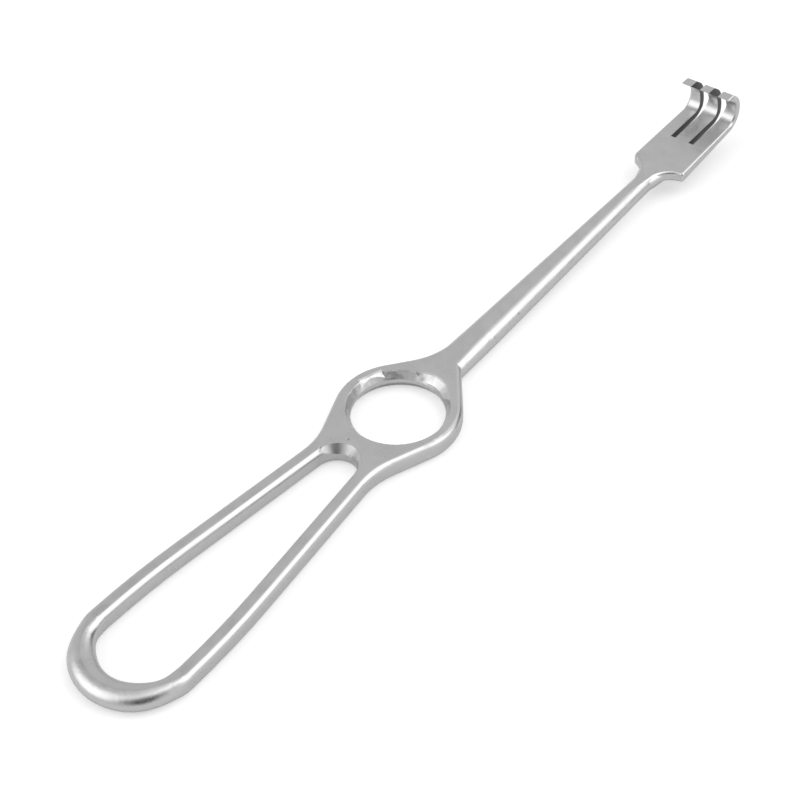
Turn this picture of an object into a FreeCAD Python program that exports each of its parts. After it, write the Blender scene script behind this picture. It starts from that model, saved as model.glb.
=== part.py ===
import FreeCAD, Part
import math
import os

import Sketcher

# A handheld surgical retractor in one forged piece of stainless steel.
# X runs from the palm loop to the hooked prongs, Z is up, millimetres.
# The origin is the centre of the finger ring, half way through its thickness.

V = FreeCAD.Vector
START, END, CENTRE = range(1, 4)
X_AXIS, Y_AXIS = range(-1, -3, -1)
ORIGIN_POINT = (X_AXIS, START)
END_STEPS = 10
FULL_ROUND = 0.97
TINY = 1e-5

doc = FreeCAD.newDocument("Retractor")

# Driving dimensions, each written once

SIZES = [
    ("thickness", 4.5, "handle, from ground face to ground face"),
    ("edge_round", 1.25, "rounding along the handle's edges"),
    ("ring_radius", 13.85, "finger ring, outside"),
    ("bore_radius", 10.2, "finger hole at its narrowest"),
    ("bore_land", 0.9, "length of the straight land inside the finger hole"),
    ("lower_opening", 1.1, "opening out of the finger hole at the lower face"),
    ("upper_opening", 1.1, "opening out of the finger hole at the upper face"),
    ("front_mouth", 8.0, "second grinding of the mouth, towards the shaft"),
    ("front_mouth_slant", 1.6, "width of its slanted wall"),
    ("front_mouth_depth", 1.6, "its depth below the upper face"),
    ("front_mouth_reach", 2.0, "from the finger hole's edge ahead to the end of it"),
    ("front_mouth_shift", 0.9, "its centre, off to the near side"),
    ("bar_width", 3.75, "each bar of the palm loop"),
    ("bar_slope", 6.23, "degrees by which each bar closes in on the ring"),
    ("loop_centre", 77.3, "from the ring's centre back to the centre of the loop's end"),
    ("loop_radius", 11.45, "centre line of the loop's round end"),
    ("bow_radius", 200.0, "gentle bend where the end runs into the straight bars"),
    ("end_width", 5.8, "loop's end at its fattest"),
    ("end_height", 4.46, "loop's end, its full height"),
    ("fade_start", 2.0, "degrees round the end where the ground flat starts to fade out"),
    ("flat_fade", 26.0, "degrees over which it fades out"),
    ("swell_start", 0.0, "degrees round the end where the bar starts to swell"),
    ("swell_span", 62.0, "degrees over which it swells to its full width"),
    ("neck_slope", 21.8, "degrees by which the handle opens on to the ring"),
    ("neck_round", 15.9, "hollow between a bar and the ring"),
    ("opening_end", 16.2, "from the ring's centre back to the opening"),
    ("scoop_back", 3.2, "from the opening's end back to the centre of the ground scoop"),
    ("scoop_shift", 0.35, "scoop's centre, off to the far side"),
    ("scoop_mouth", 4.65, "scoop's radius at the upper face"),
    ("scoop_slant", 1.35, "width of its slanted wall"),
    ("scoop_depth", 1.9, "scoop, straight down"),
    ("shoulder_slope", 39.0, "degrees by which the ring narrows on to the shaft"),
    ("shoulder_reach", 20.0, "from the ring's centre to where that web ends"),
    ("web_round", 16.0, "hollow between the web and the shaft on the far side"),
    ("web_half", 3.3, "half width of the shaft where that hollow runs out"),
    ("shaft_sink", 1.05, "depth of the shaft's first section inside the ring's band"),
    ("lift_off", 30.0, "where the underside leaves the table"),
    ("neck_end", 95.0, "shaft's narrowest section"),
    ("shaft_half_root", 4.0, "half width of the shaft at its first section"),
    ("shaft_half_neck", 2.35, "half width of the shaft at its narrowest"),
    ("shaft_taper_below", 2.35, "rise of the underside from lift off to the neck"),
    ("shaft_side_flat", 0.12, "height of the flat strip left on the shaft's sides"),
    ("rise_start", 17.0, "where the top face starts to rise"),
    ("rise", 1.46, "degrees by which the shaft and blade rise"),
    ("far_side", 6.75, "blade, from the shaft's line to its far side"),
    ("near_side", 7.65, "blade, from the shaft's line to its near shoulder"),
    ("near_taper", 0.75, "narrowing of the near side from there to the reach"),
    ("far_corner", 2.2, "rounding of the far shoulder in plan"),
    ("near_corner", 0.6, "rounding of the near shoulder in plan"),
    ("blade_root", 88.0, "where the blade's flat starts inside the shaft"),
    ("blade_root_half", 0.9, "half width of the flat there"),
    ("blade_neck_half", 1.85, "half width of the blade at the foot of its flares"),
    ("blade_flare", 6.05, "hollow flare on each side of the blade"),
    ("flare_start", 95.2, "foot of the flares"),
    ("blade_thickness", 3.1, "blade at its root inside the shaft"),
    ("fade_reach", 105.0, "where the shaft's underside has faded into the blade"),
    ("fade_half", 4.8, "half width of that last section"),
    ("fade_height", 2.1, "height of that last section"),
    ("fade_sink", 0.2, "depth of that last section below the blade's face"),
    ("blade_edge_round", 0.68, "rounding along the blade and prongs"),
    ("prong_thickness", 1.75, "prongs from the bend to the tips"),
    ("bend_radius", 3.0, "inside of the bend from blade to prong"),
    ("lean", 3.0, "degrees by which the prongs lean back after the bend"),
    ("prong_straight", 0.37, "straight stretch between the bend and the curl"),
    ("curl_radius", 3.5, "inside of the curl near the tips"),
    ("curl_rise", 37.0, "degrees above level at which the tips point back"),
    ("tip_above_bend", 5.98, "ground tips above the centre of the bend"),
    ("reach", 128.5, "from the ring's centre to the front of the prongs"),
    ("slot_pitch", 5.06, "between the two slots' centre lines"),
    ("slot_width", 1.25, "slots through the blade"),
    ("slot_length", 10.95, "from the slots' inner ends to the centre of the bend"),
    ("gap_width", 2.5, "gap between the prongs near the tips"),
    ("gap_start", 5.75, "widened gap, from its rear to the centre of the bend"),
    ("gap_foot", 2.77, "from the centre of the bend down to where the gap starts to widen"),
    ("gap_full", 0.63, "from the centre of the bend up to where it has its full width"),
    ("facet_angle", 69.7, "degrees round the finger hole to the ground facet"),
    ("facet_length", 5.9, "ground facet along the hole's edge"),
    ("facet_radius", 11.6, "from the ring's centre to the facet's upper edge"),
    ("facet_tilt", 40.0, "degrees by which the facet slopes down into the hole"),
]

sheet = doc.addObject("Spreadsheet::Sheet", "Sizes")
for row, (alias, value, meaning) in enumerate(SIZES, 1):
    sheet.set("A%d" % row, meaning)
    sheet.set("B%d" % row, str(value))
    sheet.setAlias("B%d" % row, alias)
doc.recompute()


def size(alias):
    """The sheet's value, for placing geometry before the solver takes over."""
    return float(sheet.get(alias))


def slope_of(alias):
    return math.radians(size(alias))


# Helpers for sketches inside the body

handle = doc.addObject("PartDesign::Body", "Handle")
blade = doc.addObject("PartDesign::Body", "Blade")


def origin_item(body, role):
    for item in body.Origin.OriginFeatures:
        if item.Role == role:
            return item
    raise ValueError(role)


def new_sketch(body, name, role, offset_expression=None):
    sketch = body.newObject("Sketcher::SketchObject", name)
    sketch.AttachmentSupport = (origin_item(body, role), [""])
    sketch.MapMode = "FlatFace"
    if offset_expression:
        sketch.setExpression("AttachmentOffset.Base.z", offset_expression)
    return sketch


def line(sketch, start, end, construction=False):
    return sketch.addGeometry(Part.LineSegment(V(*start, 0), V(*end, 0)), construction)


def arc(sketch, centre, start, end):
    """Arc counterclockwise from start to end round centre."""
    radius = math.dist(centre, start)
    first = math.atan2(start[1] - centre[1], start[0] - centre[0])
    last = math.atan2(end[1] - centre[1], end[0] - centre[0])
    circle = Part.Circle(V(*centre, 0), V(0, 0, 1), radius)
    return sketch.addGeometry(Part.ArcOfCircle(circle, first, last), False)


def tie(sketch, kind, *where):
    return sketch.addConstraint(Sketcher.Constraint(kind, *where))


def drive(sketch, name, expression, kind, *where):
    """A dimension bound to the sheet; where ends with its starting value."""
    index = tie(sketch, kind, *where)
    sketch.renameConstraint(index, name)
    sketch.setExpression("Constraints." + name, expression)


def finish_feature(feature):
    """Recompute and stop where a feature failed or lost the solid."""
    doc.recompute()
    if "Invalid" in feature.State or "Error" in feature.State:
        raise RuntimeError(feature.Name + " failed: " + feature.getStatusString())
    if feature.Shape.isNull() or not feature.Shape.isValid():
        raise RuntimeError(feature.Name + " has no valid shape")
    return feature


def check_sketch(sketch):
    doc.recompute()
    if sketch.solve() != 0 or not sketch.FullyConstrained:
        raise RuntimeError("%s is not fully constrained: %s" % (sketch.Name, sketch.solve()))
    return sketch


# Handle blank: one half of the plan of the bars, neck, ring and web

def half_blank():
    slope = slope_of("bar_slope")
    neck = slope_of("neck_slope")
    web = slope_of("shoulder_slope")
    half_bar = size("bar_width") / 2
    across = (math.sin(slope), math.cos(slope))
    joint = (size("bow_radius") * math.sin(slope) - size("loop_centre"),
             size("loop_radius") - size("bow_radius") * (1 - math.cos(slope)))
    depth = joint[0] * across[0] + joint[1] * across[1]

    def at(point, direction, distance):
        return (point[0] + direction[0] * distance, point[1] + direction[1] * distance)

    outer = at(joint, across, half_bar)
    inner = at(joint, across, -half_bar)
    neck_normal = (-math.sin(neck), math.cos(neck))
    web_normal = (math.sin(web), math.cos(web))
    # centre of the hollow: its radius away from both the bar's side and the neck's side
    a = depth + half_bar + size("neck_round")
    b = size("ring_radius") + size("neck_round")
    det = across[0] * neck_normal[1] - across[1] * neck_normal[0]
    hollow = ((a * neck_normal[1] - across[1] * b) / det, (across[0] * b - neck_normal[0] * a) / det)
    hollow_bar = at(hollow, across, -size("neck_round"))
    hollow_ring = at(hollow, neck_normal, -size("neck_round"))
    ring_back = at((0, 0), neck_normal, size("ring_radius"))
    ring_front = at((0, 0), web_normal, size("ring_radius"))
    web_x = size("shoulder_reach")
    web_y = (size("ring_radius") - web_x * web_normal[0]) / web_normal[1]
    end_x = (depth - half_bar + size("opening_end")) / (math.sin(slope) - 1)
    end_radius = -size("opening_end") - end_x
    end_side = at((end_x, 0), across, end_radius)

    sketch = new_sketch(handle, "BlankPlan", "XY_Plane")
    side = line(sketch, outer, hollow_bar)
    hollow_arc = sketch.addGeometry(Part.ArcOfCircle(
        Part.Circle(V(*hollow, 0), V(0, 0, 1), size("neck_round")),
        -math.pi / 2 - slope, -math.pi / 2 + neck), False)
    neck_side = line(sketch, hollow_ring, ring_back)
    ring = arc(sketch, (0, 0), ring_front, ring_back)
    web_side = line(sketch, ring_front, (web_x, web_y))
    web_end = line(sketch, (web_x, web_y), (web_x, 0))
    middle = line(sketch, (web_x, 0), (-size("opening_end"), 0))
    opening = arc(sketch, (end_x, 0), (-size("opening_end"), 0), end_side)
    inside = line(sketch, end_side, inner)
    bar_end = line(sketch, inner, outer)

    tie(sketch, "Tangent", side, END, hollow_arc, START)
    tie(sketch, "Tangent", hollow_arc, END, neck_side, START)
    tie(sketch, "Tangent", neck_side, END, ring, END)
    tie(sketch, "Tangent", ring, START, web_side, START)
    tie(sketch, "Coincident", web_side, END, web_end, START)
    tie(sketch, "Coincident", web_end, END, middle, START)
    tie(sketch, "Coincident", middle, END, opening, START)
    tie(sketch, "Tangent", opening, END, inside, START)
    tie(sketch, "Coincident", inside, END, bar_end, START)
    tie(sketch, "Coincident", bar_end, END, side, START)
    tie(sketch, "Coincident", ring, CENTRE, *ORIGIN_POINT)
    tie(sketch, "PointOnObject", opening, CENTRE, X_AXIS)
    tie(sketch, "PointOnObject", middle, START, X_AXIS)
    tie(sketch, "PointOnObject", middle, END, X_AXIS)
    tie(sketch, "Vertical", web_end)
    tie(sketch, "Perpendicular", bar_end, side)
    tie(sketch, "Parallel", inside, side)
    drive(sketch, "RingRadius", "Sizes.ring_radius", "Radius", ring, size("ring_radius"))
    drive(sketch, "Hollow", "Sizes.neck_round", "Radius", hollow_arc, size("neck_round"))
    drive(sketch, "BarWidth", "Sizes.bar_width", "Distance", bar_end, size("bar_width"))
    drive(sketch, "BarSlope", "-Sizes.bar_slope * 1deg", "Angle", side, -slope)
    drive(sketch, "NeckSlope", "Sizes.neck_slope * 1deg", "Angle", neck_side, neck)
    drive(sketch, "WebSlope", "-Sizes.shoulder_slope * 1deg", "Angle", web_side, -web)
    drive(sketch, "OpeningEnd", "Sizes.opening_end", "DistanceX", middle, END, *ORIGIN_POINT,
          size("opening_end"))
    drive(sketch, "WebReach", "Sizes.shoulder_reach", "DistanceX", *ORIGIN_POINT, middle, START,
          size("shoulder_reach"))
    drive(sketch, "BarEndX",
          "Sizes.loop_centre - (Sizes.bow_radius + Sizes.bar_width / 2) * sin(Sizes.bar_slope * 1deg)",
          "DistanceX", side, START, *ORIGIN_POINT, -outer[0])
    drive(sketch, "BarEndY",
          "Sizes.loop_radius - Sizes.bow_radius"
          " + (Sizes.bow_radius + Sizes.bar_width / 2) * cos(Sizes.bar_slope * 1deg)",
          "DistanceY", *ORIGIN_POINT, side, START, outer[1])
    return check_sketch(sketch)


plan = half_blank()
half = handle.newObject("PartDesign::Pad", "HalfBlank")
half.Profile = (plan, [""])
half.SideType = "Symmetric"
half.setExpression("Length", "Sizes.thickness")
finish_feature(half)

blank = handle.newObject("PartDesign::Mirrored", "Blank")
blank.Originals = [half]
blank.MirrorPlane = (origin_item(handle, "XZ_Plane"), [""])
handle.Tip = blank
finish_feature(blank)


# On the far side a hollow carries the ring's web on to the shaft

def web_hollow():
    slope = slope_of("shoulder_slope")
    hollow = size("web_round")
    rise = size("web_half") + hollow
    # the hollow's centre lies its radius outside the web's side and outside the shaft's side
    middle = ((size("ring_radius") + hollow - rise * math.cos(slope)) / math.sin(slope), rise)
    on_web = (middle[0] - hollow * math.sin(slope), middle[1] - hollow * math.cos(slope))
    on_shaft = (middle[0], size("web_half"))
    sketch = new_sketch(handle, "WebHollow", "XY_Plane")
    web = line(sketch, (size("ring_radius") * math.sin(slope), size("ring_radius") * math.cos(slope)),
               on_web)
    curve = arc(sketch, middle, on_web, on_shaft)
    front = line(sketch, on_shaft, (on_shaft[0], 0))
    base = line(sketch, (on_shaft[0], 0), (size("ring_radius") * math.sin(slope), 0))
    rear = line(sketch, (size("ring_radius") * math.sin(slope), 0),
                (size("ring_radius") * math.sin(slope), size("ring_radius") * math.cos(slope)))
    tie(sketch, "Tangent", web, END, curve, START)
    tie(sketch, "Coincident", curve, END, front, START)
    tie(sketch, "Coincident", front, END, base, START)
    tie(sketch, "Coincident", base, END, rear, START)
    tie(sketch, "Coincident", rear, END, web, START)
    tie(sketch, "Vertical", curve, CENTRE, curve, END)
    tie(sketch, "Vertical", front)
    tie(sketch, "Vertical", rear)
    tie(sketch, "PointOnObject", base, START, X_AXIS)
    tie(sketch, "PointOnObject", base, END, X_AXIS)
    drive(sketch, "Slope", "-Sizes.shoulder_slope * 1deg", "Angle", web, -slope)
    drive(sketch, "Hollow", "Sizes.web_round", "Radius", curve, hollow)
    drive(sketch, "CentreY", "Sizes.web_half + Sizes.web_round", "DistanceY", *ORIGIN_POINT,
          curve, CENTRE, rise)
    drive(sketch, "WebX", "Sizes.ring_radius * sin(Sizes.shoulder_slope * 1deg)", "DistanceX",
          *ORIGIN_POINT, web, START, size("ring_radius") * math.sin(slope))
    drive(sketch, "WebY", "Sizes.ring_radius * cos(Sizes.shoulder_slope * 1deg)", "DistanceY",
          *ORIGIN_POINT, web, START, size("ring_radius") * math.cos(slope))
    return check_sketch(sketch)


web = handle.newObject("PartDesign::Pad", "FarWeb")
web.Profile = (web_hollow(), [""])
web.SideType = "Symmetric"
web.setExpression("Length", "Sizes.thickness")
web.Refine = True
finish_feature(web)


def edge_names(shape, wanted):
    """Names of the edges that the test picks out."""
    return ["Edge%d" % (i + 1) for i, edge in enumerate(shape.Edges) if wanted(edge)]


def middle_of(edge):
    first, last = edge.ParameterRange
    return edge.valueAt((first + last) / 2)


# The long edges of both faces are rounded; the bars' ends and the web's end stay square
def is_blank_edge(edge):
    middle = middle_of(edge)
    flat_run = edge.BoundBox.ZLength < TINY and abs(abs(middle.z) - size("thickness") / 2) < TINY
    crosswise = edge.BoundBox.XLength < TINY
    bar_end = abs(edge.Length - size("bar_width")) < TINY and middle.x < -size("opening_end")
    return flat_run and not crosswise and not bar_end


soft_edges = handle.newObject("PartDesign::Fillet", "SoftEdges")
soft_edges.Base = (web, edge_names(web.Shape, is_blank_edge))
soft_edges.setExpression("Radius", "Sizes.edge_round")
finish_feature(soft_edges)

# Finger hole: a straight land at mid thickness, opened out to both ground faces

bore_plan = new_sketch(handle, "BorePlan", "XY_Plane")
bore_circle = bore_plan.addGeometry(Part.Circle(V(0, 0, 0), V(0, 0, 1), size("bore_radius")), False)
tie(bore_plan, "Coincident", bore_circle, CENTRE, *ORIGIN_POINT)
drive(bore_plan, "Bore", "Sizes.bore_radius", "Radius", bore_circle, size("bore_radius"))
check_sketch(bore_plan)
bore = handle.newObject("PartDesign::Pocket", "Bore")
bore.Profile = (bore_plan, [""])
bore.Type = "ThroughAll"
bore.SideType = "Symmetric"
finish_feature(bore)


def cone_cut(name, centre, foot, mouth, texts):
    """A groove round an upright axis, its wall leaning from foot to mouth, each (radius, height)."""
    up = 1 if mouth[1] > foot[1] else -1
    clear = mouth[1] + up * size("edge_round")
    sketch = new_sketch(handle, name + "Profile", "XZ_Plane", texts["side"])
    points = [(centre, foot[1]), (centre + foot[0], foot[1]), (centre + mouth[0], mouth[1]),
              (centre + mouth[0], clear), (centre, clear)]
    sides = [line(sketch, points[i], points[(i + 1) % 5]) for i in range(5)]
    for i in range(5):
        tie(sketch, "Coincident", sides[i], END, sides[(i + 1) % 5], START)
    tie(sketch, "Horizontal", sides[0])
    tie(sketch, "Vertical", sides[2])
    tie(sketch, "Horizontal", sides[3])
    tie(sketch, "Vertical", sides[4])
    drive(sketch, "Foot", texts["foot"], "DistanceX", sides[0], START, sides[0], END, foot[0])
    drive(sketch, "Mouth", texts["mouth"], "DistanceX", sides[3], END, sides[3], START, mouth[0])
    drive(sketch, "FootZ", texts["foot_z"], "DistanceY", *ORIGIN_POINT, sides[0], START, foot[1])
    drive(sketch, "MouthZ", texts["mouth_z"], "DistanceY", *ORIGIN_POINT, sides[1], END, mouth[1])
    drive(sketch, "Clear", texts["clear"], "DistanceY", *ORIGIN_POINT, sides[3], START, clear)
    if texts["centre"]:
        drive(sketch, "Centre", texts["centre"], "DistanceX", *ORIGIN_POINT, sides[0], START, centre)
    else:
        tie(sketch, "PointOnObject", sides[0], START, Y_AXIS)
    axis = line(sketch, points[0], points[4], True)
    tie(sketch, "Coincident", axis, START, sides[0], START)
    tie(sketch, "Coincident", axis, END, sides[4], START)
    check_sketch(sketch)
    groove = handle.newObject("PartDesign::Groove", name)
    groove.Profile = (sketch, [""])
    groove.ReferenceAxis = (sketch, ["Axis0"])
    groove.Angle = 360
    return finish_feature(groove)


half_thickness = size("thickness") / 2
half_land = size("bore_land") / 2
cone_cut("LowerMouth", 0, (size("bore_radius"), -half_land),
         (size("bore_radius") + size("lower_opening"), -half_thickness),
         {"side": None, "centre": None, "foot": "Sizes.bore_radius", "foot_z": "-Sizes.bore_land / 2",
          "mouth": "Sizes.bore_radius + Sizes.lower_opening", "mouth_z": "-Sizes.thickness / 2",
          "clear": "-Sizes.thickness / 2 - Sizes.edge_round"})
cone_cut("UpperMouth", 0, (size("bore_radius"), half_land),
         (size("bore_radius") + size("upper_opening"), half_thickness),
         {"side": None, "centre": None, "foot": "Sizes.bore_radius", "foot_z": "Sizes.bore_land / 2",
          "mouth": "Sizes.bore_radius + Sizes.upper_opening", "mouth_z": "Sizes.thickness / 2",
          "clear": "Sizes.thickness / 2 + Sizes.edge_round"})
cone_cut("FrontMouth", size("bore_radius") + size("front_mouth_reach") - size("front_mouth"),
         (size("front_mouth") - size("front_mouth_slant"),
          half_thickness - size("front_mouth_depth")),
         (size("front_mouth"), half_thickness),
         {"side": "Sizes.front_mouth_shift",
          "centre": "Sizes.bore_radius + Sizes.front_mouth_reach - Sizes.front_mouth",
          "foot": "Sizes.front_mouth - Sizes.front_mouth_slant",
          "foot_z": "Sizes.thickness / 2 - Sizes.front_mouth_depth", "mouth": "Sizes.front_mouth",
          "mouth_z": "Sizes.thickness / 2", "clear": "Sizes.thickness / 2 + Sizes.edge_round"})

# The opening's end is scooped out by hand on the upper face, a little to one side
cone_cut("Scoop", -size("opening_end") - size("scoop_back"),
         (size("scoop_mouth") - size("scoop_slant"), half_thickness - size("scoop_depth")),
         (size("scoop_mouth"), half_thickness),
         {"side": "-Sizes.scoop_shift", "centre": "-Sizes.opening_end - Sizes.scoop_back",
          "foot": "Sizes.scoop_mouth - Sizes.scoop_slant",
          "foot_z": "Sizes.thickness / 2 - Sizes.scoop_depth", "mouth": "Sizes.scoop_mouth",
          "mouth_z": "Sizes.thickness / 2", "clear": "Sizes.thickness / 2 + Sizes.edge_round"})

# A flat facet ground on the far edge of the finger hole
facet = handle.newObject("PartDesign::SubtractiveBox", "GroundFacet")
facet_run = "(Sizes.facet_radius - Sizes.bore_radius + Sizes.edge_round)"
facet_low = "(Sizes.bore_radius - Sizes.edge_round)"
facet_turn = "(Sizes.facet_angle * 1deg - 90deg)"
facet.setExpression("Length", "Sizes.facet_length")
facet.setExpression("Width", "2 * %s / cos(Sizes.facet_tilt * 1deg)" % facet_run)
facet.setExpression("Height", "Sizes.thickness")
facet.setExpression("Placement", "placement(vector("
                    "-Sizes.facet_length / 2 * cos(%s) - %s * sin(%s);"
                    "-Sizes.facet_length / 2 * sin(%s) + %s * cos(%s);"
                    "Sizes.thickness / 2 - %s * tan(Sizes.facet_tilt * 1deg));"
                    "rotation(%s; 0; Sizes.facet_tilt * 1deg))"
                    % (facet_turn, facet_low, facet_turn, facet_turn, facet_low, facet_turn,
                       facet_run, facet_turn))
finish_feature(facet)


# Shaft: sections across X, lofted from the ring's band to the neck, then faded into the blade

def rounded_section(name, x_text, half_text, half, high_text, top, low_text, bottom):
    """A rounded rectangle across X, symmetric about Z, between two heights."""
    sketch = new_sketch(handle, name, "YZ_Plane", x_text)
    corner = (top - bottom - size("shaft_side_flat")) / 2
    lines = []
    arcs = []
    corners = [(half - corner, bottom + corner), (half - corner, top - corner),
               (corner - half, top - corner), (corner - half, bottom + corner)]
    turns = [(0, -1), (1, 0), (0, 1), (-1, 0), (0, -1)]
    for i, centre in enumerate(corners):
        start = (centre[0] + turns[i][0] * corner, centre[1] + turns[i][1] * corner)
        end = (centre[0] + turns[i + 1][0] * corner, centre[1] + turns[i + 1][1] * corner)
        arcs.append(arc(sketch, centre, start, end))
        following = corners[(i + 1) % 4]
        lines.append(line(sketch, end, (following[0] + turns[i + 1][0] * corner,
                                        following[1] + turns[i + 1][1] * corner)))
    for i in range(4):
        tie(sketch, "Tangent", arcs[i], END, lines[i], START)
        tie(sketch, "Tangent", lines[i], END, arcs[(i + 1) % 4], START)
    tie(sketch, "Equal", arcs[0], arcs[1])
    tie(sketch, "Equal", arcs[1], arcs[2])
    tie(sketch, "Equal", arcs[2], arcs[3])
    tie(sketch, "Vertical", lines[0])
    tie(sketch, "Vertical", lines[2])
    tie(sketch, "Horizontal", lines[3])
    tie(sketch, "Symmetric", lines[1], START, lines[1], END, Y_AXIS)
    radius_text = "((%s) - (%s) - Sizes.shaft_side_flat) / 2" % (high_text, low_text)
    drive(sketch, "Corner", radius_text, "Radius", arcs[0], corner)
    drive(sketch, "HalfWidth", half_text, "DistanceX", *ORIGIN_POINT, lines[0], START, half)
    drive(sketch, "Height", "(%s) - (%s)" % (high_text, low_text), "DistanceY", lines[3], START,
          lines[1], END, top - bottom)
    drive(sketch, "Top", high_text, "DistanceY", *ORIGIN_POINT, lines[1], START, top)
    return check_sketch(sketch)


def top_at(x):
    return size("thickness") / 2 + (x - size("rise_start")) * math.tan(slope_of("rise"))


def top_text(x_text):
    return "Sizes.thickness / 2 + ((%s) - Sizes.rise_start) * tan(Sizes.rise * 1deg)" % x_text


shaft_start = size("ring_radius") - size("shaft_sink")
shaft_start_text = "(Sizes.ring_radius - Sizes.shaft_sink)"
under_neck = size("shaft_taper_below") - half_thickness
under_neck_text = "Sizes.shaft_taper_below - Sizes.thickness / 2"


def shaft_half_at(x):
    share = (x - shaft_start) / (size("neck_end") - shaft_start)
    return size("shaft_half_root") + share * (size("shaft_half_neck") - size("shaft_half_root"))


def shaft_half_text(x_text):
    share = "(%s - %s) / (Sizes.neck_end - %s)" % (x_text, shaft_start_text, shaft_start_text)
    return "Sizes.shaft_half_root + %s * (Sizes.shaft_half_neck - Sizes.shaft_half_root)" % share


shaft_sections = []
for name, x_text, x, below_text, below in (
        ("ShaftRoot", shaft_start_text, shaft_start, "-Sizes.thickness / 2", -half_thickness),
        ("ShaftLift", "Sizes.lift_off", size("lift_off"), "-Sizes.thickness / 2", -half_thickness),
        ("ShaftNeck", "Sizes.neck_end", size("neck_end"), under_neck_text, under_neck)):
    shaft_sections.append(rounded_section(name, x_text, shaft_half_text(x_text), shaft_half_at(x),
                                          top_text(x_text), top_at(x), below_text, below))

shaft = handle.newObject("PartDesign::AdditiveLoft", "Shaft")
shaft.Profile = (shaft_sections[0], [""])
shaft.Sections = [(section, [""]) for section in shaft_sections[1:]]
shaft.Ruled = True
finish_feature(shaft)

fade_text = top_text("Sizes.fade_reach")
fade_top = top_at(size("fade_reach")) - size("fade_sink")
fade_section = rounded_section("ShaftFade", "Sizes.fade_reach", "Sizes.fade_half", size("fade_half"),
                               "(%s) - Sizes.fade_sink" % fade_text, fade_top,
                               "(%s) - Sizes.fade_sink - Sizes.fade_height" % fade_text,
                               fade_top - size("fade_height"))
neck_again = rounded_section("NeckAgain", "Sizes.neck_end", "Sizes.shaft_half_neck",
                             size("shaft_half_neck"), top_text("Sizes.neck_end"),
                             top_at(size("neck_end")), under_neck_text, under_neck)
fade = handle.newObject("PartDesign::AdditiveLoft", "Fade")
fade.Profile = (neck_again, [""])
fade.Sections = [(fade_section, [""])]
fade.Ruled = True
finish_feature(fade)


# Blade and prongs: side view, then trimmed in plan, then slotted

bend_x = size("reach") - size("bend_radius") - size("prong_thickness")
bend_z = top_at(bend_x) + size("bend_radius") / math.cos(slope_of("rise"))
bend_x_text = "Sizes.reach - Sizes.bend_radius - Sizes.prong_thickness"
bend_z_text = "%s + Sizes.bend_radius / cos(Sizes.rise * 1deg)" % top_text(bend_x_text)


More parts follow.
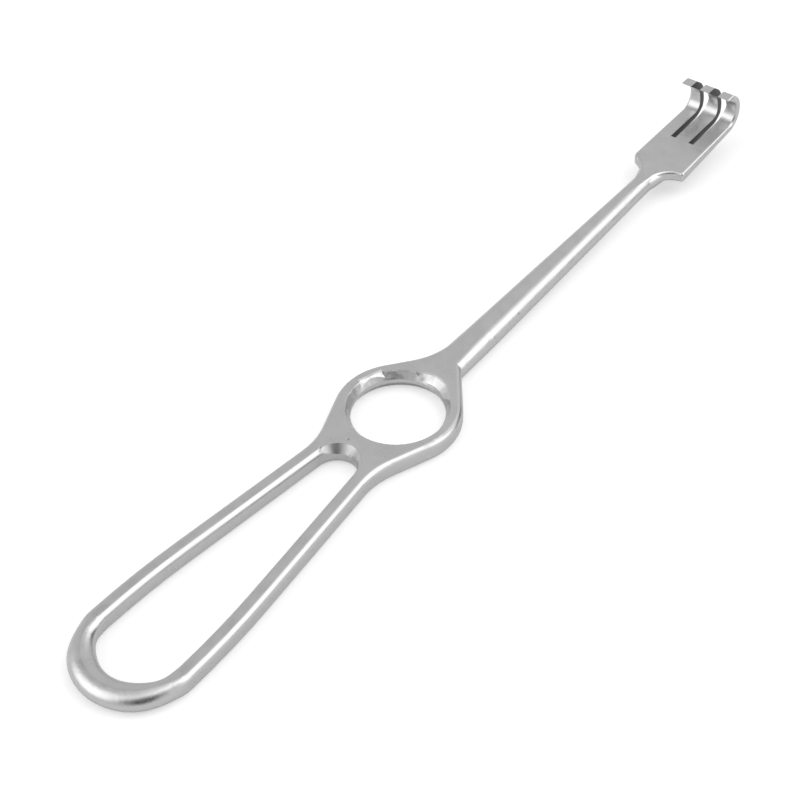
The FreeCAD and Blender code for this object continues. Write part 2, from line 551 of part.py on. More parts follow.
def blade_profile():
    """Blade, bend, rise and curl of the prongs, seen from the side."""
    rise = slope_of("rise")
    lean = slope_of("lean")
    curl = slope_of("curl_rise")
    stock = size("prong_thickness")
    root = size("blade_root")
    bend = (bend_x, bend_z)

    def on(centre, radius, angle):
        return (centre[0] + radius * math.cos(angle), centre[1] + radius * math.sin(angle))

    inner = size("bend_radius")
    outer = inner + stock
    foot = (root, top_at(root) - size("blade_thickness"))
    away = math.dist(bend, foot)
    bottom_slope = math.atan2(bend[1] - foot[1], bend[0] - foot[0]) - math.asin(outer / away)
    curl_inner = size("curl_radius")
    curl_outer = curl_inner + stock
    bend_end = on(bend, inner, lean)
    curl_start = (bend_end[0] - size("prong_straight") * math.sin(lean),
                  bend_end[1] + size("prong_straight") * math.cos(lean))
    tip_height = bend[1] + size("tip_above_bend")
    curl_centre = on(curl_start, curl_inner, lean + math.pi)
    turn_end = math.pi / 2 - curl

    def tip_of(radius):
        start = on(curl_centre, radius, turn_end)
        run = (tip_height - start[1]) / math.tan(curl)
        return start, (start[0] - run, tip_height)

    inner_end, inner_tip = tip_of(curl_inner)
    outer_end, outer_tip = tip_of(curl_outer)
    face_end = on(bend, inner, rise - math.pi / 2)
    back_start = on(bend, outer, bottom_slope - math.pi / 2)

    sketch = new_sketch(blade, "BladeProfile", "XZ_Plane")
    face = line(sketch, (root, top_at(root)), face_end)
    bend_in = arc(sketch, bend, face_end, bend_end)
    rise_in = line(sketch, bend_end, curl_start)
    curl_in = arc(sketch, curl_centre, curl_start, inner_end)
    point_in = line(sketch, inner_end, inner_tip)
    tip = line(sketch, inner_tip, outer_tip)
    point_out = line(sketch, outer_tip, outer_end)
    curl_out = arc(sketch, curl_centre, on(curl_centre, curl_outer, lean), outer_end)
    rise_out = line(sketch, on(curl_centre, curl_outer, lean), on(bend, outer, lean))
    bend_out = arc(sketch, bend, back_start, on(bend, outer, lean))
    back = line(sketch, back_start, foot)
    rear = line(sketch, foot, (root, top_at(root)))

    tie(sketch, "Tangent", face, END, bend_in, START)
    tie(sketch, "Tangent", bend_in, END, rise_in, START)
    tie(sketch, "Tangent", rise_in, END, curl_in, START)
    tie(sketch, "Tangent", curl_in, END, point_in, START)
    tie(sketch, "Coincident", point_in, END, tip, START)
    tie(sketch, "Coincident", tip, END, point_out, START)
    tie(sketch, "Tangent", point_out, END, curl_out, END)
    tie(sketch, "Tangent", curl_out, START, rise_out, START)
    tie(sketch, "Tangent", rise_out, END, bend_out, END)
    tie(sketch, "Tangent", bend_out, START, back, START)
    tie(sketch, "Coincident", back, END, rear, START)
    tie(sketch, "Coincident", rear, END, face, START)
    tie(sketch, "Coincident", bend_in, CENTRE, bend_out, CENTRE)
    tie(sketch, "Coincident", curl_in, CENTRE, curl_out, CENTRE)
    tie(sketch, "Horizontal", tip)
    tie(sketch, "Vertical", rear)
    tie(sketch, "Parallel", point_in, point_out)
    drive(sketch, "BendInner", "Sizes.bend_radius", "Radius", bend_in, inner)
    drive(sketch, "BendOuter", "Sizes.bend_radius + Sizes.prong_thickness", "Radius", bend_out, outer)
    drive(sketch, "CurlInner", "Sizes.curl_radius", "Radius", curl_in, curl_inner)
    drive(sketch, "CurlOuter", "Sizes.curl_radius + Sizes.prong_thickness", "Radius", curl_out,
          curl_outer)
    drive(sketch, "Rise", "Sizes.rise * 1deg", "Angle", face, rise)
    drive(sketch, "Lean", "(90 + Sizes.lean) * 1deg", "Angle", rise_in, math.pi / 2 + lean)
    drive(sketch, "PointBack", "(180 - Sizes.curl_rise) * 1deg", "Angle", point_in, math.pi - curl)
    drive(sketch, "BendX", bend_x_text, "DistanceX", *ORIGIN_POINT, bend_in, CENTRE, bend[0])
    drive(sketch, "Straight", "Sizes.prong_straight", "Distance", rise_in, size("prong_straight"))
    drive(sketch, "TipZ", "Sizes.tip_above_bend", "DistanceY", bend_in, CENTRE, tip, START,
          size("tip_above_bend"))
    drive(sketch, "RootX", "Sizes.blade_root", "DistanceX", *ORIGIN_POINT, rear, END, root)
    drive(sketch, "RootZ", top_text("Sizes.blade_root"), "DistanceY", *ORIGIN_POINT, rear, END,
          top_at(root))
    drive(sketch, "RootThick", "Sizes.blade_thickness", "DistanceY", rear, START, rear, END,
          size("blade_thickness"))
    return check_sketch(sketch)


side_view = blade_profile()
bar = blade.newObject("PartDesign::Pad", "BentBar")
bar.Profile = (side_view, [""])
bar.SideType = "Two sides"
bar.setExpression("Length", "Sizes.near_side")
bar.setExpression("Length2", "Sizes.far_side")
finish_feature(bar)


def near_taper_plan():
    """The wedge ground off the near side, from nothing at the shoulder to its full width."""
    side = size("near_side")
    rear = (size("flare_start"), -side)
    front = (size("reach"), size("near_taper") - side)
    sketch = new_sketch(blade, "NearTaperPlan", "XY_Plane")
    corners = [rear, (front[0], rear[1]), front]
    sides = [line(sketch, corners[i], corners[(i + 1) % 3]) for i in range(3)]
    for i in range(3):
        tie(sketch, "Coincident", sides[i], END, sides[(i + 1) % 3], START)
    tie(sketch, "Horizontal", sides[0])
    tie(sketch, "Vertical", sides[1])
    drive(sketch, "Rear", "Sizes.flare_start", "DistanceX", *ORIGIN_POINT, sides[0], START, rear[0])
    drive(sketch, "Front", "Sizes.reach", "DistanceX", *ORIGIN_POINT, sides[0], END, front[0])
    drive(sketch, "Side", "Sizes.near_side", "DistanceY", sides[0], START, *ORIGIN_POINT, side)
    drive(sketch, "Taper", "Sizes.near_taper", "DistanceY", sides[1], START, sides[1], END,
          size("near_taper"))
    return check_sketch(sketch)


near_taper = blade.newObject("PartDesign::Pocket", "NearTaper")
near_taper.Profile = (near_taper_plan(), [""])
near_taper.Type = "ThroughAll"
near_taper.SideType = "Symmetric"
finish_feature(near_taper)


def flare_plan(name, way, side_alias):
    """What is cut away beside the blade's neck on one side, up to its hollow flare."""
    flare = size("blade_flare")
    side = size(side_alias)
    root = (size("blade_root"), size("blade_root_half"))
    centre = (size("flare_start"), size("blade_neck_half") + flare)
    away = math.dist(root, centre)
    slope = math.atan2(centre[1] - root[1], centre[0] - root[0]) - math.asin(flare / away)
    touch = (centre[0] + flare * math.sin(slope), centre[1] - flare * math.cos(slope))
    shoulder = (centre[0] + math.sqrt(flare ** 2 - (centre[1] - side) ** 2), side)

    def turned(point):
        return (point[0], way * point[1])

    def up(label, text, spot, start):
        ends = (ORIGIN_POINT, spot) if way > 0 else (spot, ORIGIN_POINT)
        drive(sketch, label, text, "DistanceY", *ends[0], *ends[1], start)

    outside = centre[1] + size("blade_edge_round")
    sketch = new_sketch(blade, name, "XY_Plane")
    neck = line(sketch, turned(root), turned(touch))
    if way > 0:
        hollow = arc(sketch, centre, touch, shoulder)
        first, last = START, END
    else:
        hollow = arc(sketch, turned(centre), turned(shoulder), turned(touch))
        first, last = END, START
    out = line(sketch, turned(shoulder), turned((shoulder[0], outside)))
    back = line(sketch, turned((shoulder[0], outside)), turned((root[0], outside)))
    rear = line(sketch, turned((root[0], outside)), turned(root))
    tie(sketch, "Tangent", neck, END, hollow, first)
    tie(sketch, "Coincident", hollow, last, out, START)
    tie(sketch, "Coincident", out, END, back, START)
    tie(sketch, "Coincident", back, END, rear, START)
    tie(sketch, "Coincident", rear, END, neck, START)
    tie(sketch, "Vertical", out)
    tie(sketch, "Horizontal", back)
    tie(sketch, "Vertical", rear)
    drive(sketch, "Flare", "Sizes.blade_flare", "Radius", hollow, flare)
    drive(sketch, "CentreX", "Sizes.flare_start", "DistanceX", *ORIGIN_POINT, hollow, CENTRE, centre[0])
    drive(sketch, "RootX", "Sizes.blade_root", "DistanceX", *ORIGIN_POINT, rear, END, root[0])
    up("CentreY", "Sizes.blade_neck_half + Sizes.blade_flare", (hollow, CENTRE), centre[1])
    up("Side", "Sizes." + side_alias, (hollow, last), side)
    up("RootY", "Sizes.blade_root_half", (rear, END), root[1])
    up("Outside", "Sizes.blade_neck_half + Sizes.blade_flare + Sizes.blade_edge_round",
       (back, START), outside)
    return check_sketch(sketch)


for name, way, side_alias in (("FarFlare", 1, "far_side"), ("NearFlare", -1, "near_side")):
    flare_cut = blade.newObject("PartDesign::Pocket", name)
    flare_cut.Profile = (flare_plan(name + "Plan", way, side_alias), [""])
    flare_cut.Type = "ThroughAll"
    flare_cut.SideType = "Symmetric"
    finish_feature(flare_cut)


def is_shoulder(way, inside):
    """Picks the upright corner of the blade on one side, wherever its flare ends."""
    def picks(edge):
        box = edge.BoundBox
        upright = box.XLength < TINY and box.YLength < TINY
        return upright and way * box.YMin > inside and box.XMin > size("flare_start")
    return picks


for name, way, round_alias in (("FarShoulder", 1, "far_corner"), ("NearShoulder", -1, "near_corner")):
    below = blade.Tip
    shoulder = blade.newObject("PartDesign::Fillet", name)
    inside = size("blade_neck_half")
    shoulder.Base = (below, edge_names(below.Shape, is_shoulder(way, inside)))
    shoulder.setExpression("Radius", "Sizes." + round_alias)
    finish_feature(shoulder)


def is_long_edge(edge):
    """Leaves out upright edges, those across the blade, the root's and the ground tips'."""
    box = edge.BoundBox
    return box.XLength > TINY and box.XMax > size("blade_root") + TINY


blade_edges = blade.newObject("PartDesign::Fillet", "BladeEdges")
blade_edges.Base = (shoulder, edge_names(shoulder.Shape, is_long_edge))
blade_edges.setExpression("Radius", "Sizes.blade_edge_round")
finish_feature(blade_edges)


def slot_plan():
    """One slot between two prongs, open at the front."""
    middle = size("slot_pitch") / 2
    half_slot = size("slot_width") / 2
    first = bend_x - size("slot_length")
    last = size("reach") + size("prong_thickness")
    sketch = new_sketch(blade, "SlotPlan", "XY_Plane")
    corners = [(first, middle - half_slot), (last, middle - half_slot),
               (last, middle + half_slot), (first, middle + half_slot)]
    sides = [line(sketch, corners[i], corners[(i + 1) % 4]) for i in range(4)]
    for i in range(4):
        tie(sketch, "Coincident", sides[i], END, sides[(i + 1) % 4], START)
    tie(sketch, "Horizontal", sides[0])
    tie(sketch, "Vertical", sides[1])
    tie(sketch, "Horizontal", sides[2])
    tie(sketch, "Vertical", sides[3])
    drive(sketch, "Start", bend_x_text + " - Sizes.slot_length", "DistanceX", *ORIGIN_POINT,
          sides[0], START, first)
    drive(sketch, "Front", "Sizes.reach + Sizes.prong_thickness", "DistanceX", *ORIGIN_POINT,
          sides[0], END, last)
    drive(sketch, "Low", "(Sizes.slot_pitch - Sizes.slot_width) / 2", "DistanceY", *ORIGIN_POINT,
          sides[0], START, middle - half_slot)
    drive(sketch, "High", "(Sizes.slot_pitch + Sizes.slot_width) / 2", "DistanceY", *ORIGIN_POINT,
          sides[2], END, middle + half_slot)
    return check_sketch(sketch)


def gap_section():
    """The slot widening upwards between the risen prongs, seen along X."""
    middle = size("slot_pitch") / 2
    narrow = size("slot_width") / 2
    wide = size("gap_width") / 2
    foot = bend_z - size("gap_foot")
    full = bend_z + size("gap_full")
    above = bend_z + size("tip_above_bend") + size("prong_thickness")
    sketch = new_sketch(blade, "GapSection", "YZ_Plane", bend_x_text + " - Sizes.gap_start")
    corners = [(middle - narrow, foot), (middle + narrow, foot), (middle + wide, full),
               (middle + wide, above), (middle - wide, above), (middle - wide, full)]
    sides = [line(sketch, corners[i], corners[(i + 1) % 6]) for i in range(6)]
    for i in range(6):
        tie(sketch, "Coincident", sides[i], END, sides[(i + 1) % 6], START)
    tie(sketch, "Horizontal", sides[0])
    tie(sketch, "Vertical", sides[2])
    tie(sketch, "Horizontal", sides[3])
    tie(sketch, "Vertical", sides[4])
    tie(sketch, "Horizontal", sides[2], START, sides[4], END)
    drive(sketch, "FootWidth", "Sizes.slot_width", "DistanceX", sides[0], START, sides[0], END,
          2 * narrow)
    drive(sketch, "FullWidth", "Sizes.gap_width", "DistanceX", sides[3], END, sides[3], START,
          2 * wide)
    drive(sketch, "Foot", "%s - Sizes.gap_foot" % bend_z_text, "DistanceY", *ORIGIN_POINT,
          sides[0], START, foot)
    drive(sketch, "Full", "%s + Sizes.gap_full" % bend_z_text, "DistanceY", *ORIGIN_POINT,
          sides[2], START, full)
    drive(sketch, "Above", "%s + Sizes.tip_above_bend + Sizes.prong_thickness" % bend_z_text,
          "DistanceY", *ORIGIN_POINT, sides[3], START, above)
    drive(sketch, "Side", "(Sizes.slot_pitch + Sizes.slot_width) / 2", "DistanceX", *ORIGIN_POINT,
          sides[0], END, middle + narrow)
    drive(sketch, "WideSide", "(Sizes.slot_pitch + Sizes.gap_width) / 2", "DistanceX", *ORIGIN_POINT,
          sides[2], START, middle + wide)
    return check_sketch(sketch)


slot = blade.newObject("PartDesign::Pocket", "Slot")
slot.Profile = (slot_plan(), [""])
slot.Type = "ThroughAll"
slot.SideType = "Symmetric"
finish_feature(slot)
gap = blade.newObject("PartDesign::Pocket", "Gap")
gap.Profile = (gap_section(), [""])
gap.Type = "ThroughAll"
gap.Reversed = True
finish_feature(gap)
other_gap = blade.newObject("PartDesign::Mirrored", "OtherSlotAndGap")
other_gap.Originals = [slot, gap]
other_gap.MirrorPlane = (origin_item(blade, "XZ_Plane"), [""])
blade.Tip = other_gap
finish_feature(other_gap)


# Closed end of the palm loop: sections square to a centre line, flat at the bars, round at the back

def end_section(centre, outward, half_width, half_height, corner_width, corner_height):
    """A rectangle with elliptical corners, standing square to the centre line."""
    up = V(0, 0, 1)

    def at(a, b):
        return centre + outward * a + up * b

    edges = []
    for a, b, turn in ((1, 1, 0), (-1, 1, 1), (-1, -1, 2), (1, -1, 3)):
        hub = at(a * (half_width - corner_width), b * (half_height - corner_height))
        side = hub + outward * (a * corner_width)
        cap = hub + up * (b * corner_height)
        start, end = (side, cap) if turn % 2 == 0 else (cap, side)
        diagonal = hub + outward * (a * corner_width * math.sqrt(0.5)) \
            + up * (b * corner_height * math.sqrt(0.5))
        curve = Part.BSplineCurve()
        weight = math.sqrt(0.5)
        pole = hub + outward * (a * corner_width) + up * (b * corner_height)
        curve.buildFromPolesMultsKnots([start, pole, end], [3, 3], [0, 1], False, 2, [1, weight, 1])
        edges.append((start, end, curve.toShape()))
    wire = []
    for i in range(4):
        wire.append(edges[i][2])
        wire.append(Part.makeLine(edges[i][1], edges[(i + 1) % 4][0]))
    return Part.Wire(wire)


def smooth(share):
    share = min(1, max(0, share))
    return share * share * (3 - 2 * share)


def round_end():
    """Half turn of the loop, swelling and losing its ground flats on the way to the back."""
    half_bar = size("bar_width") / 2
    corner = size("edge_round")
    middle = V(-size("loop_centre"), 0, 0)
    wires = []
    for i in range(END_STEPS + 1):
        degrees = 180 * i / END_STEPS
        outward = V(-math.sin(math.radians(degrees)), math.cos(math.radians(degrees)), 0)
        turned = min(degrees, 180 - degrees)
        swell = smooth((turned - size("swell_start")) / size("swell_span"))
        fade = smooth((turned - size("fade_start")) / size("flat_fade"))
        half_width = half_bar + swell * (size("end_width") / 2 - half_bar)
        half_height = half_thickness + swell * (size("end_height") / 2 - half_thickness)
        wires.append(end_section(middle + outward * size("loop_radius"), outward,
                                 half_width, half_height,
                                 corner + fade * (FULL_ROUND * half_width - corner),
                                 corner + fade * (FULL_ROUND * half_height - corner)))
    return Part.makeLoft(wires, True)


def bowed_bar():
    """Last stretch of a bar, bent gently outwards on to the round end."""
    slope = slope_of("bar_slope")
    middle = V(-size("loop_centre"), size("loop_radius") - size("bow_radius"), 0)
    outward = V(math.sin(slope), math.cos(slope), 0)
    section = end_section(middle + outward * size("bow_radius"), outward, size("bar_width") / 2,
                          half_thickness, size("edge_round"), size("edge_round"))
    return Part.Face(section).revolve(middle, V(0, 0, 1), size("bar_slope"))


left_bow = bowed_bar()
right_bow = left_bow.mirror(V(0, 0, 0), V(0, 1, 0))
loop_end = doc.addObject("Part::Feature", "LoopEnd")
loop_end.Shape = round_end().multiFuse([left_bow, right_bow])

retractor = doc.addObject("Part::MultiFuse", "Retractor")
retractor.Shapes = [handle, blade, loop_end]
retractor.Refine = True
retractor.Label = "retractor"
doc.recompute()

for item in doc.Objects:
    if "Invalid" in item.State or "Error" in item.State:
        raise RuntimeError(item.Name + " is in error")
if retractor.Shape.isNull() or not retractor.Shape.isValid() or len(retractor.Shape.Solids) != 1:
    raise RuntimeError("the retractor is not one valid solid")

os.makedirs("parts", exist_ok=True)
retractor.Shape.exportStep("parts/retractor.step")
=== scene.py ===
import math

import bmesh
import bpy
from mathutils import Matrix, Vector


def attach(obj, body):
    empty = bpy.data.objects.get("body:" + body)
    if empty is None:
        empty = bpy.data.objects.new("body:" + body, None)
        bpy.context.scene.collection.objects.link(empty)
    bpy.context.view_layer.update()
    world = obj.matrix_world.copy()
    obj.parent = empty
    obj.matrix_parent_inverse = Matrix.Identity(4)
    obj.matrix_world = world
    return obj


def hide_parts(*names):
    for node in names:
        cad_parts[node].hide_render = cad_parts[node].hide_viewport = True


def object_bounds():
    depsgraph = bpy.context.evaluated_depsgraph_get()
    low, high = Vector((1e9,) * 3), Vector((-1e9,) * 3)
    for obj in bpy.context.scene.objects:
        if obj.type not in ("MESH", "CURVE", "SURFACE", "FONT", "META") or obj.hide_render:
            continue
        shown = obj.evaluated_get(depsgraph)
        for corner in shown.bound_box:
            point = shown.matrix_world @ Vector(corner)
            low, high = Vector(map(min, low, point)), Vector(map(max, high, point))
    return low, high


# A handheld surgical retractor: one forging of satin stainless steel, lying on a white table

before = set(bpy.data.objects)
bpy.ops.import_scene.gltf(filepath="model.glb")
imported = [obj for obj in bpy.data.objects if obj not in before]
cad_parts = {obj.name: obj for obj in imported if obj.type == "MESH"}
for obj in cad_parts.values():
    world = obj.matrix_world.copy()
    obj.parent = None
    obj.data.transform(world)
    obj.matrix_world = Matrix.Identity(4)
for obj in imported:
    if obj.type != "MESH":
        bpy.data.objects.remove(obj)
CAD_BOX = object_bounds()
scene = bpy.context.scene
scene.view_settings.view_transform = "Standard"

MM = 0.001

# Helpers for node trees

# A Mix node has sockets of the same names for each kind of data, so they are told apart by number
MIX_SOCKETS = {"FLOAT": (2, 3, 0), "RGBA": (6, 7, 2)}


def node(tree, kind, inputs=None, **settings):
    """A node with its settings; inputs that are sockets are linked, others are set."""
    made = tree.nodes.new(kind)
    for key, value in settings.items():
        setattr(made, key, value)
    for key, value in (inputs or {}).items():
        if isinstance(value, bpy.types.NodeSocket):
            tree.links.new(value, made.inputs[key])
        else:
            made.inputs[key].default_value = value
    return made


def math_node(tree, operation, *values):
    """The result of one step of arithmetic."""
    return node(tree, "ShaderNodeMath", dict(enumerate(values)), operation=operation).outputs[0]


def vector_node(tree, operation, *vectors, gives="Vector"):
    """The result of one step on vectors: its Vector, or its Value where it comes to a number."""
    return node(tree, "ShaderNodeVectorMath", dict(enumerate(vectors)), operation=operation).outputs[gives]


def ramp(tree, value, low, high, to_low=0.0, to_high=1.0):
    """A smooth change from one value to another between two limits."""
    limits = {"Value": value, "From Min": low, "From Max": high, "To Min": to_low, "To Max": to_high}
    return node(tree, "ShaderNodeMapRange", limits, interpolation_type="SMOOTHSTEP").outputs["Result"]


def within(tree, distance, edge):
    """1 up to the start of a soft edge and 0 past its end, both given in millimetres."""
    start, end = edge
    return ramp(tree, distance, start * MM, end * MM, 1.0, 0.0)


def mix(tree, kind, amount, first, second):
    """From the first value or colour to the second, as the amount goes from 0 to 1."""
    from_socket, to_socket, result = MIX_SOCKETS[kind]
    made = node(tree, "ShaderNodeMix", {0: amount, from_socket: first, to_socket: second}, data_type=kind)
    return made.outputs[result]


def grey(level):
    """A neutral colour."""
    return (level, level, level, 1)


def new_group(name, inputs, outputs):
    """An empty node group, what it is given and what it results in; each socket's name has its kind."""
    tree = bpy.data.node_groups.new(name, "ShaderNodeTree")
    for in_out, sockets in (("INPUT", inputs), ("OUTPUT", outputs)):
        for label, kind in sockets.items():
            tree.interface.new_socket(name=label, in_out=in_out, socket_type="NodeSocket" + kind)
    return tree, node(tree, "NodeGroupInput").outputs, node(tree, "NodeGroupOutput").inputs


def use_group(tree, group, **inputs):
    """What a shared group gives in this tree."""
    return node(tree, "ShaderNodeGroup", inputs, node_tree=group).outputs


# Marks on the steel, and painted shade on the slot walls, each worked out from the place on the forging

# Cells in a metre; the belt's lines have few along the shaft and many across it
BELT_LINE_CELLS = (350, 2600, 2600)
MOTTLE_CELLS = 260.0
WAVE_CELLS = 70.0
PIT_CELLS = 800.0
DENT_CELLS = 380.0

# A pit's soft edge as a share of its cell, and the share of cells that have none
PIT_EDGE = (0.04, 0.14)
CELLS_WITHOUT_PIT = 0.95

# Slots in the blade: their middles from the blade's middle, and where their painted shade and rougher finish
# fade, in millimetres
SLOT_MIDDLE = 2.53
SLOT_EDGE = (0.64, 0.72)
PRONG_SIDE_EDGE = (4.9, 5.1)
SLOT_START = (112.6, 112.7)
# How far a wall's direction is turned sideways, where its painted shade and rougher finish start and where
# they are full
SIDEWAYS = (0.75, 0.9)

# Finger hole: where its uneven wall fades, from the hole's middle and upwards, in millimetres
HOLE_WALL_EDGE = (12.9, 13.4)
HOLE_RIM_EDGE = (2.05, 2.2)

# Nicks beside the scoop, each from one point to another, and their half width, in millimetres
NICKS = (((-18.9, 5.4, 2.25), (-19.8, 4.9, 1.98)), ((-13.6, 2.3, 2.25), (-13.8, 2.2, 2.25)))
NICK_HALF = 0.13
NICK_EDGE = (NICK_HALF, 2.5 * NICK_HALF)


def grinding_group():
    """Fine lines left by the grinding belt, a soft mottle and a slow waviness."""
    tree, given, result = new_group("grinding", {"Place": "Vector"},
                                    {"Lines": "Float", "Mottle": "Float", "Waves": "Float"})
    place = given["Place"]
    stretched = vector_node(tree, "MULTIPLY", place, BELT_LINE_CELLS)
    patterns = {
        "Lines": {"Vector": stretched, "Scale": 1.0, "Detail": 3.0},
        "Mottle": {"Vector": place, "Scale": MOTTLE_CELLS, "Detail": 4.0, "Roughness": 0.6},
        "Waves": {"Vector": place, "Scale": WAVE_CELLS, "Detail": 1.0},
    }
    for label, inputs in patterns.items():
        noise = node(tree, "ShaderNodeTexNoise", inputs)
        tree.links.new(noise.outputs["Fac"], result[label])
    return tree


def specks_group():
    """Sparse small pits, one in a few cells."""
    tree, given, result = new_group("specks", {"Place": "Vector"}, {"Pits": "Float"})
    cells = node(tree, "ShaderNodeTexVoronoi", {"Vector": given["Place"], "Scale": PIT_CELLS}).outputs
    near = ramp(tree, cells["Distance"], *PIT_EDGE, 1.0, 0.0)
    draw = node(tree, "ShaderNodeSeparateColor", {"Color": cells["Color"]}).outputs[0]
    chosen = math_node(tree, "GREATER_THAN", draw, CELLS_WITHOUT_PIT)
    tree.links.new(math_node(tree, "MULTIPLY", near, chosen), result["Pits"])
    return tree


def sawn_and_shaded_slots_group():
    """1 on the walls of the blade's two slots, up to the tips of the prongs, and 0 elsewhere: where the
    saw-cut walls are rougher and are darkened with painted shade.
    """
    tree, given, result = new_group("sawn_and_shaded_slots", {"Place": "Vector", "Facing": "Vector"}, {"Sawn_and_shaded": "Float"})
    place = node(tree, "ShaderNodeSeparateXYZ", {0: given["Place"]}).outputs
    facing = node(tree, "ShaderNodeSeparateXYZ", {0: given["Facing"]}).outputs
    side = math_node(tree, "ABSOLUTE", place["Y"])
    off_middle = math_node(tree, "ABSOLUTE", math_node(tree, "SUBTRACT", side, SLOT_MIDDLE * MM))
    slot = within(tree, off_middle, SLOT_EDGE)
    turned = ramp(tree, math_node(tree, "ABSOLUTE", facing["Y"]), *SIDEWAYS)
    wall = math_node(tree, "MULTIPLY", turned, within(tree, side, PRONG_SIDE_EDGE))
    ahead = ramp(tree, place["X"], SLOT_START[0] * MM, SLOT_START[1] * MM)
    sawn_and_shaded = math_node(tree, "MULTIPLY", math_node(tree, "MAXIMUM", slot, wall), ahead)
    tree.links.new(sawn_and_shaded, result["Sawn_and_shaded"])
    return tree


def hand_ground_group():
    """The uneven wall of the finger hole: a height that wavers there and is level elsewhere."""
    tree, given, result = new_group("hand_ground", {"Place": "Vector"}, {"Height": "Float"})
    place = node(tree, "ShaderNodeSeparateXYZ", {0: given["Place"]}).outputs
    flat = node(tree, "ShaderNodeCombineXYZ", {"X": place["X"], "Y": place["Y"]}).outputs[0]
    near = within(tree, vector_node(tree, "LENGTH", flat, gives="Value"), HOLE_WALL_EDGE)
    below = within(tree, place["Z"], HOLE_RIM_EDGE)
    on_wall = math_node(tree, "MULTIPLY", near, below)
    dents = node(tree, "ShaderNodeTexNoise", {"Vector": given["Place"], "Scale": DENT_CELLS, "Detail": 1.5})
    tree.links.new(math_node(tree, "MULTIPLY", dents.outputs["Fac"], on_wall), result["Height"])
    return tree


def nicks_group():
    """Short thin cuts beside the scoop, each along a line between two points."""
    tree, given, result = new_group("nicks", {"Place": "Vector"}, {"Cut": "Float"})
    cut = 0.0
    for first, last in NICKS:
        start = Vector(first) * MM
        run = Vector(last) * MM - start
        away = vector_node(tree, "SUBTRACT", given["Place"], start)
        along = vector_node(tree, "DOT_PRODUCT", away, run / run.length_squared, gives="Value")
        held = node(tree, "ShaderNodeClamp", {0: along}).outputs[0]
        foot = node(tree, "ShaderNodeVectorMath", {0: run, "Scale": held}, operation="SCALE")
        gap = vector_node(tree, "DISTANCE", away, foot.outputs["Vector"], gives="Value")
        cut = math_node(tree, "MAXIMUM", cut, within(tree, gap, NICK_EDGE))
    tree.links.new(cut, result["Cut"])
    return tree


# Steel

GRINDING = grinding_group()
SPECKS = specks_group()
SAWN_AND_SHADED_SLOTS = sawn_and_shaded_slots_group()
HAND_GROUND = hand_ground_group()
NICK_MARKS = nicks_group()

# Greys, and how much of its own grey a pit and a nick show
STEEL_DIM = grey(0.60)
STEEL_BRIGHT = grey(0.665)
PIT_GREY = grey(0.22)
# The slot walls' grey is painted shade, as if the narrow slots were in shadow
SLOT_PAINTED_SHADE_GREY = grey(0.16)
NICK_GREY = grey(0.14)
PIT_SHARE = 0.35
NICK_SHARE = 0.55

# Roughness over the mottle's middle range, and what sawing adds to it
MOTTLE_RANGE = (0.3, 0.7)
SATIN_ROUGHNESS = (0.25, 0.36)
SAWN_ROUGHNESS = 0.25

# Heights of the relief in millimetres; what is cut into the steel is below zero
LINE_HEIGHT = 0.002
WAVE_HEIGHT = 0.10
PIT_HEIGHT = -0.008
HOLE_WALL_HEIGHT = 0.28
NICK_HEIGHT = -0.05


def satin_steel():
    """Satin steel with a soft mottle, the marks of grinding, sawing and use, and painted shade on the slot
    walls.
    """
    material = bpy.data.materials.new("satin_steel")
    material.use_nodes = True
    tree = material.node_tree
    shader = tree.nodes["Principled BSDF"].inputs
    shader["Metallic"].default_value = 1.0
    where = node(tree, "ShaderNodeTexCoord").outputs
    place = where["Object"]
    grain = use_group(tree, GRINDING, Place=place)
    pits = use_group(tree, SPECKS, Place=place)["Pits"]
    sawn_and_shaded = use_group(tree, SAWN_AND_SHADED_SLOTS, Place=place, Facing=where["Normal"])["Sawn_and_shaded"]
    wall = use_group(tree, HAND_GROUND, Place=place)["Height"]
    cut = use_group(tree, NICK_MARKS, Place=place)["Cut"]

    colour = mix(tree, "RGBA", grain["Mottle"], STEEL_DIM, STEEL_BRIGHT)
    colour = mix(tree, "RGBA", math_node(tree, "MULTIPLY", pits, PIT_SHARE), colour, PIT_GREY)
    # Painted shade: the slot walls and the sides of the prongs are darkened
    colour = mix(tree, "RGBA", sawn_and_shaded, colour, SLOT_PAINTED_SHADE_GREY)
    colour = mix(tree, "RGBA", math_node(tree, "MULTIPLY", cut, NICK_SHARE), colour, NICK_GREY)
    tree.links.new(colour, shader["Base Color"])

    satin = ramp(tree, grain["Mottle"], *MOTTLE_RANGE, *SATIN_ROUGHNESS)
    # The saw-cut walls are also rougher, which is their own finish
    rough = math_node(tree, "ADD", satin, math_node(tree, "MULTIPLY", sawn_and_shaded, SAWN_ROUGHNESS))
    tree.links.new(rough, shader["Roughness"])

    relief = math_node(tree, "MULTIPLY", grain["Lines"], LINE_HEIGHT)
    for mark, height in ((grain["Waves"], WAVE_HEIGHT), (pits, PIT_HEIGHT), (wall, HOLE_WALL_HEIGHT),
                         (cut, NICK_HEIGHT)):
        relief = math_node(tree, "ADD", relief, math_node(tree, "MULTIPLY", mark, height))
    bump = node(tree, "ShaderNodeBump", {"Height": relief, "Distance": MM, "Strength": 1.0})
    tree.links.new(bump.outputs["Normal"], shader["Normal"])
    return material


# Forging

SAME_POINT = 1e-6


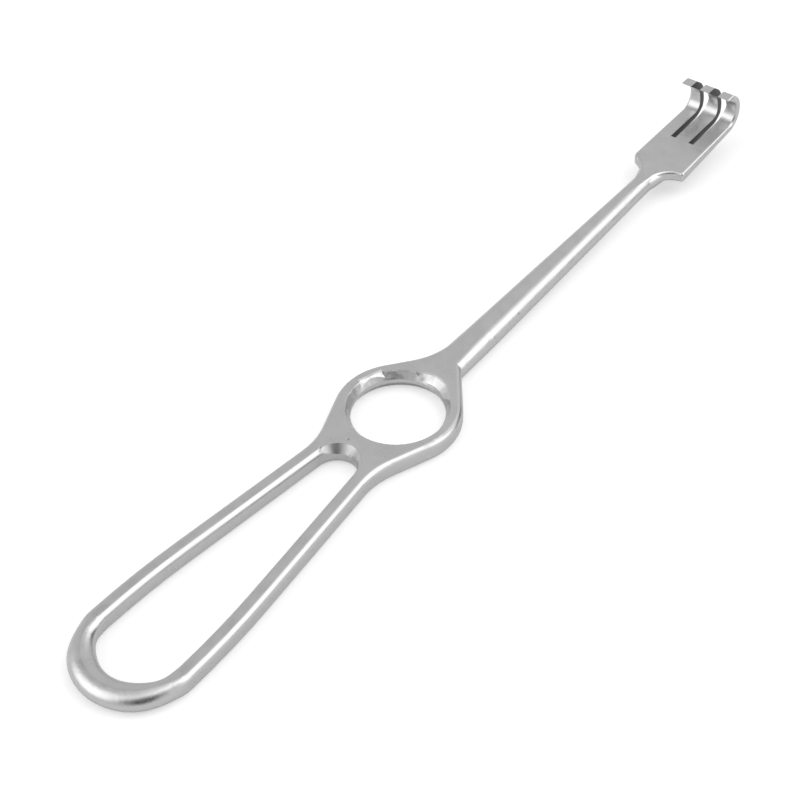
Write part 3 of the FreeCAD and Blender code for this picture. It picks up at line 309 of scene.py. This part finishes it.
def polished_copy(cad_node, name):
    """The forging with its loose triangles joined, keeping the exact surface directions."""
    mesh = cad_node.data.copy()
    mesh.name = name
    piece = bpy.data.objects.new(name, mesh)
    scene.collection.objects.link(piece)
    kept = mesh.attributes.new("surface_direction", "FLOAT_VECTOR", "CORNER")
    for corner, normal in zip(kept.data, mesh.corner_normals):
        corner.vector = normal.vector
    work = bmesh.new()
    work.from_mesh(mesh)
    bmesh.ops.remove_doubles(work, verts=work.verts, dist=SAME_POINT)
    for face in work.faces:
        face.smooth = True
    work.to_mesh(mesh)
    work.free()
    directions = [corner.vector.copy() for corner in mesh.attributes["surface_direction"].data]
    mesh.normals_split_custom_set(directions)
    mesh.attributes.remove(mesh.attributes["surface_direction"])
    return piece


forging = polished_copy(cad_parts["retractor"], "forging")
forging.data.materials.clear()
forging.data.materials.append(satin_steel())
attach(forging, "root")
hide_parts("retractor")

# Table: just under the forging, so that the two don't share a plane

TABLE_GAP = 0.02 * MM
TABLE_Z = CAD_BOX[0][2] - TABLE_GAP
TABLE_HALF = 3.0
TABLE_COLOUR = grey(0.66)
TABLE_ROUGHNESS = 0.9
# What is added to the table's brightness for the camera, and the share of it that the steel reflects
TABLE_LIFT = 0.45
REFLECTED_SHARE = 0.25


def table_top():
    """A plain pale table, lifted to white for the camera and a little for what the steel reflects."""
    mesh = bpy.data.meshes.new("table")
    corners = [(-1, -1), (1, -1), (1, 1), (-1, 1)]
    mesh.from_pydata([(x * TABLE_HALF, y * TABLE_HALF, TABLE_Z) for x, y in corners], [], [(0, 1, 2, 3)])
    table = bpy.data.objects.new("table", mesh)
    scene.collection.objects.link(table)
    material = bpy.data.materials.new("white_table")
    material.use_nodes = True
    tree = material.node_tree
    shader = tree.nodes["Principled BSDF"].inputs
    shader["Base Color"].default_value = TABLE_COLOUR
    shader["Roughness"].default_value = TABLE_ROUGHNESS
    shader["Specular IOR Level"].default_value = 0.0
    shader["Emission Strength"].default_value = TABLE_LIFT
    ray = node(tree, "ShaderNodeLightPath").outputs
    reflected = math_node(tree, "MAXIMUM", ray["Is Glossy Ray"], ray["Is Transmission Ray"])
    shared = math_node(tree, "MULTIPLY", reflected, REFLECTED_SHARE)
    tree.links.new(math_node(tree, "ADD", ray["Is Camera Ray"], shared), shader["Emission Color"])
    mesh.materials.append(material)


table_top()

# Light: a pale tent with soft brighter and dimmer patches, white where the camera sees it, and a soft box

TENT = 0.65
TENT_DARKEST = 0.03
WHITE = 1.0
# Each patch: the direction it lies in, its half angle in degrees, and what it adds to the tent
TENT_PATCHES = (
    ((0.42, -0.48, 0.77), 44, 1.2),
    ((0.30, -0.85, 0.30), 38, 0.35),
    ((-0.60, 0.50, 0.62), 36, 0.9),
    ((0.0, -0.1, 1.0), 40, 0.35),
    ((-0.50, -0.54, 0.67), 38, -0.60),
    ((0.87, -0.48, 0.04), 30, -0.75),
    ((0.12, 0.46, 0.88), 22, -0.26),
)


def patch_group():
    """How far a direction lies inside a soft-edged round patch of the tent."""
    tree, given, result = new_group("patch", {"Direction": "Vector", "Towards": "Vector", "Rim": "Float"},
                                    {"Inside": "Float"})
    facing = vector_node(tree, "DOT_PRODUCT", given["Direction"], given["Towards"], gives="Value")
    tree.links.new(ramp(tree, facing, given["Rim"], 1.0), result["Inside"])
    return tree


def light_tent():
    """The world: the tent with its patches, kept above its darkest level, and white for the camera."""
    world = bpy.data.worlds.new("studio")
    scene.world = world
    world.use_nodes = True
    tree = world.node_tree
    direction = node(tree, "ShaderNodeTexCoord").outputs["Generated"]
    group = patch_group()
    level = TENT
    for towards, half_angle, added in TENT_PATCHES:
        inside = use_group(tree, group, Direction=direction, Towards=Vector(towards).normalized(),
                           Rim=math.cos(math.radians(half_angle)))["Inside"]
        level = math_node(tree, "ADD", math_node(tree, "MULTIPLY", inside, added), level)
    level = math_node(tree, "MAXIMUM", level, TENT_DARKEST)
    seen = node(tree, "ShaderNodeLightPath").outputs["Is Camera Ray"]
    background = tree.nodes["Background"].inputs
    background["Color"].default_value = grey(WHITE)
    tree.links.new(mix(tree, "FLOAT", seen, level, WHITE), background["Strength"])


def soft_box(towards, distance, width, height, watts):
    """A large lamp that faces the middle of the finger hole from a direction and a distance."""
    data = bpy.data.lights.new("soft_box", "AREA")
    data.shape = "RECTANGLE"
    data.size = width
    data.size_y = height
    data.energy = watts
    lamp = bpy.data.objects.new("soft_box", data)
    aim = Vector(towards).normalized()
    lamp.location = aim * distance
    lamp.rotation_euler = aim.to_track_quat("Z", "Y").to_euler()
    scene.collection.objects.link(lamp)


light_tent()
soft_box(towards=(-0.60, 0.50, 0.62), distance=1.2, width=1.4, height=1.4, watts=1.5)

# Camera: its place in millimetres, the directions ahead of it and to its right, and its frame

CAMERA_PLACE = (-196.95, -169.12, 257.40)
CAMERA_AHEAD = (0.544, 0.4651, -0.6984)
CAMERA_RIGHT = (0.6212, -0.7827, -0.0374)
FRAME_PIXELS = 800
FOCAL_PIXELS = 1720
SENSOR_WIDTH = 36


def photo_camera():
    """A camera at the photograph's place, made the scene's own."""
    data = bpy.data.cameras.new("camera")
    data.sensor_width = SENSOR_WIDTH
    data.lens = FOCAL_PIXELS / FRAME_PIXELS * SENSOR_WIDTH
    data.clip_start = 10 * MM
    camera = bpy.data.objects.new("camera", data)
    scene.collection.objects.link(camera)
    back = -Vector(CAMERA_AHEAD).normalized()
    up = back.cross(Vector(CAMERA_RIGHT).normalized()).normalized()
    right = up.cross(back)
    turn = Matrix((right, up, back)).transposed().to_4x4()
    camera.matrix_world = Matrix.Translation(Vector(CAMERA_PLACE) * MM) @ turn
    scene.camera = camera


photo_camera()
